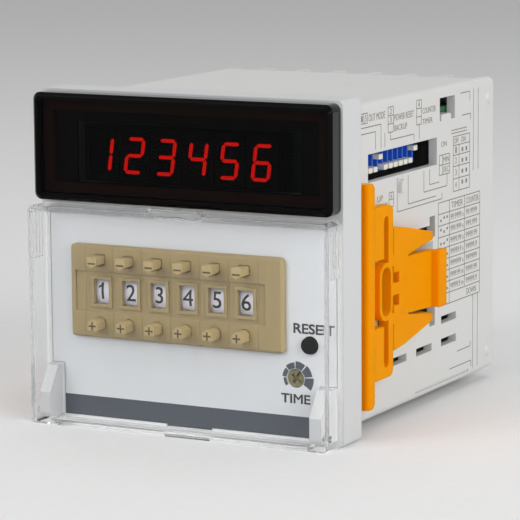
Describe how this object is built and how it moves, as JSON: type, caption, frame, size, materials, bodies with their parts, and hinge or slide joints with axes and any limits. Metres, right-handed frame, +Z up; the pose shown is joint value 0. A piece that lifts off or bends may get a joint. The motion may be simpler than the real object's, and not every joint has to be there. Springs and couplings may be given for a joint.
{
  "type": "panel counter",
  "caption": "Square panel-mounted counter with a lit digit display, push-wheel preset switch under a hinged clear cover, side setting levers, rear screw terminals and sliding brackets.",
  "frame": {"origin": "centre of the bezel's back face, which lies on the panel", "axes": "+X right seen from the front, +Y to the rear, away from the panel's front, +Z up"},
  "size_m": [0.078, 0.0913, 0.072],
  "materials": {
    "case_plastic": "fine matte moulding",
    "bezel_plastic": "fine matte moulding",
    "panel_plastic": "matte moulding with a dark band at the foot",
    "window_tint": "dark tinted clear plastic",
    "mask_black": "matte black with a brown border",
    "digit_black": "glossy black",
    "led_red": "lit red",
    "board_green": "solder mask over glass laminate",
    "clear_cover": "clear moulding",
    "switch_tan": "satin moulding",
    "button_tan": "satin moulding",
    "wheel_white": "matte white with dark figures",
    "reset_black": "satin black",
    "trimmer_blue": "matte blue",
    "trimmer_grey": "brown-grey",
    "dip_blue": "satin blue",
    "lever_ivory": "ivory",
    "core_steel": "varnished laminations",
    "relay_black": "matte black",
    "terminal_plastic": "matte moulding",
    "terminal_metal": "plated",
    "bracket_orange": "satin orange"
  },
  "bodies": {
    "housing": {"case": "case_plastic", "front_bezel": "bezel_plastic", "display_window": "window_tint", "display_mask": "mask_black", "display_board": "board_green", "digit_blocks": "digit_black", "lit_segments": "led_red", "front_panel": "panel_plastic", "switch_end_left": "switch_tan", "switch_end_right": "switch_tan", "switch_module_1": "switch_tan", "switch_module_2": "switch_tan", "switch_module_3": "switch_tan", "switch_module_4": "switch_tan", "switch_module_5": "switch_tan", "switch_module_6": "switch_tan", "reset_switch": "reset_black", "trimmer_body": "trimmer_blue", "control_board": "board_green", "upper_board": "board_green", "dip_body": "dip_blue", "power_board": "board_green", "power_transformer": "core_steel", "output_relay": "relay_black", "terminal_block": "terminal_plastic", "terminal_plates": "terminal_metal", "terminal_screws": "terminal_metal"},
    "cover": {"front_cover": "clear_cover"},
    "wheel_1": {"number_wheel_1": "wheel_white"},
    "minus_1": {"minus_button_1": "button_tan"},
    "plus_1": {"plus_button_1": "button_tan"},
    "wheel_2": {"number_wheel_2": "wheel_white"},
    "minus_2": {"minus_button_2": "button_tan"},
    "plus_2": {"plus_button_2": "button_tan"},
    "wheel_3": {"number_wheel_3": "wheel_white"},
    "minus_3": {"minus_button_3": "button_tan"},
    "plus_3": {"plus_button_3": "button_tan"},
    "wheel_4": {"number_wheel_4": "wheel_white"},
    "minus_4": {"minus_button_4": "button_tan"},
    "plus_4": {"plus_button_4": "button_tan"},
    "wheel_5": {"number_wheel_5": "wheel_white"},
    "minus_5": {"minus_button_5": "button_tan"},
    "plus_5": {"plus_button_5": "button_tan"},
    "wheel_6": {"number_wheel_6": "wheel_white"},
    "minus_6": {"minus_button_6": "button_tan"},
    "plus_6": {"plus_button_6": "button_tan"},
    "reset": {"reset_button": "reset_black"},
    "trimmer": {"trimmer_rotor": "trimmer_grey"},
    "lever_1": {"dip_lever_1": "lever_ivory"},
    "lever_2": {"dip_lever_2": "lever_ivory"},
    "lever_3": {"dip_lever_3": "lever_ivory"},
    "lever_4": {"dip_lever_4": "lever_ivory"},
    "lever_5": {"dip_lever_5": "lever_ivory"},
    "lever_6": {"dip_lever_6": "lever_ivory"},
    "lever_7": {"dip_lever_7": "lever_ivory"},
    "lever_8": {"dip_lever_8": "lever_ivory"},
    "lever_9": {"dip_lever_9": "lever_ivory"},
    "lever_10": {"dip_lever_10": "lever_ivory"},
    "left_bracket": {"bracket_left": "bracket_orange"},
    "right_bracket": {"bracket_right": "bracket_orange"}
  },
  "joints": [
    {"name": "cover_hinge", "type": "hinge", "parent": "housing", "child": "cover", "pos_m": [0, -0.0131, -0.03325], "axis": [1, 0, 0], "range_deg": [0, 90]},
    {"name": "wheel_turn_1", "type": "hinge", "parent": "housing", "child": "wheel_1", "pos_m": [-0.02098, -0.0015, -0.00695], "axis": [1, 0, 0], "continuous": true},
    {"name": "wheel_turn_2", "type": "hinge", "parent": "housing", "child": "wheel_2", "pos_m": [-0.01402, -0.0015, -0.00695], "axis": [1, 0, 0], "continuous": true},
    {"name": "wheel_turn_3", "type": "hinge", "parent": "housing", "child": "wheel_3", "pos_m": [-0.00707, -0.0015, -0.00695], "axis": [1, 0, 0], "continuous": true},
    {"name": "wheel_turn_4", "type": "hinge", "parent": "housing", "child": "wheel_4", "pos_m": [-0.00013, -0.0015, -0.00695], "axis": [1, 0, 0], "continuous": true},
    {"name": "wheel_turn_5", "type": "hinge", "parent": "housing", "child": "wheel_5", "pos_m": [0.00683, -0.0015, -0.00695], "axis": [1, 0, 0], "continuous": true},
    {"name": "wheel_turn_6", "type": "hinge", "parent": "housing", "child": "wheel_6", "pos_m": [0.01378, -0.0015, -0.00695], "axis": [1, 0, 0], "continuous": true},
    {"name": "minus_push_1", "type": "slide", "parent": "housing", "child": "minus_1", "axis": [0, 1, 0], "range_m": [0, 0.0015], "stiffness_N_per_m": 400, "springref_m": -0.001},
    {"name": "minus_push_2", "type": "slide", "parent": "housing", "child": "minus_2", "axis": [0, 1, 0], "range_m": [0, 0.0015], "stiffness_N_per_m": 400, "springref_m": -0.001},
    {"name": "minus_push_3", "type": "slide", "parent": "housing", "child": "minus_3", "axis": [0, 1, 0], "range_m": [0, 0.0015], "stiffness_N_per_m": 400, "springref_m": -0.001},
    {"name": "minus_push_4", "type": "slide", "parent": "housing", "child": "minus_4", "axis": [0, 1, 0], "range_m": [0, 0.0015], "stiffness_N_per_m": 400, "springref_m": -0.001},
    {"name": "minus_push_5", "type": "slide", "parent": "housing", "child": "minus_5", "axis": [0, 1, 0], "range_m": [0, 0.0015], "stiffness_N_per_m": 400, "springref_m": -0.001},
    {"name": "minus_push_6", "type": "slide", "parent": "housing", "child": "minus_6", "axis": [0, 1, 0], "range_m": [0, 0.0015], "stiffness_N_per_m": 400, "springref_m": -0.001},
    {"name": "plus_push_1", "type": "slide", "parent": "housing", "child": "plus_1", "axis": [0, 1, 0], "range_m": [0, 0.0015], "stiffness_N_per_m": 400, "springref_m": -0.001},
    {"name": "plus_push_2", "type": "slide", "parent": "housing", "child": "plus_2", "axis": [0, 1, 0], "range_m": [0, 0.0015], "stiffness_N_per_m": 400, "springref_m": -0.001},
    {"name": "plus_push_3", "type": "slide", "parent": "housing", "child": "plus_3", "axis": [0, 1, 0], "range_m": [0, 0.0015], "stiffness_N_per_m": 400, "springref_m": -0.001},
    {"name": "plus_push_4", "type": "slide", "parent": "housing", "child": "plus_4", "axis": [0, 1, 0], "range_m": [0, 0.0015], "stiffness_N_per_m": 400, "springref_m": -0.001},
    {"name": "plus_push_5", "type": "slide", "parent": "housing", "child": "plus_5", "axis": [0, 1, 0], "range_m": [0, 0.0015], "stiffness_N_per_m": 400, "springref_m": -0.001},
    {"name": "plus_push_6", "type": "slide", "parent": "housing", "child": "plus_6", "axis": [0, 1, 0], "range_m": [0, 0.0015], "stiffness_N_per_m": 400, "springref_m": -0.001},
    {"name": "reset_push", "type": "slide", "parent": "housing", "child": "reset", "axis": [0, 1, 0], "range_m": [0, 0.0004], "stiffness_N_per_m": 1500, "springref_m": -0.0004},
    {"name": "trimmer_turn", "type": "hinge", "parent": "housing", "child": "trimmer", "pos_m": [0.0251, -0.0085, -0.0221], "axis": [0, 1, 0], "range_deg": [-125, 125]},
    {"name": "lever_slide_1", "type": "slide", "parent": "housing", "child": "lever_1", "axis": [0, 0, 1], "range_m": [0, 0.0025]},
    {"name": "lever_slide_2", "type": "slide", "parent": "housing", "child": "lever_2", "axis": [0, 0, 1], "range_m": [0, 0.0025]},
    {"name": "lever_slide_3", "type": "slide", "parent": "housing", "child": "lever_3", "axis": [0, 0, 1], "range_m": [-0.0025, 0]},
    {"name": "lever_slide_4", "type": "slide", "parent": "housing", "child": "lever_4", "axis": [0, 0, 1], "range_m": [0, 0.0025]},
    {"name": "lever_slide_5", "type": "slide", "parent": "housing", "child": "lever_5", "axis": [0, 0, 1], "range_m": [0, 0.0025]},
    {"name": "lever_slide_6", "type": "slide", "parent": "housing", "child": "lever_6", "axis": [0, 0, 1], "range_m": [0, 0.0025]},
    {"name": "lever_slide_7", "type": "slide", "parent": "housing", "child": "lever_7", "axis": [0, 0, 1], "range_m": [0, 0.0025]},
    {"name": "lever_slide_8", "type": "slide", "parent": "housing", "child": "lever_8", "axis": [0, 0, 1], "range_m": [0, 0.0025]},
    {"name": "lever_slide_9", "type": "slide", "parent": "housing", "child": "lever_9", "axis": [0, 0, 1], "range_m": [0, 0.0025]},
    {"name": "lever_slide_10", "type": "slide", "parent": "housing", "child": "lever_10", "axis": [0, 0, 1], "range_m": [-0.0025, 0]},
    {"name": "left_bracket_slide", "type": "slide", "parent": "housing", "child": "left_bracket", "axis": [0, 1, 0], "range_m": [-0.002, 0.006]},
    {"name": "right_bracket_slide", "type": "slide", "parent": "housing", "child": "right_bracket", "axis": [0, 1, 0], "range_m": [-0.002, 0.006]}
  ]
}
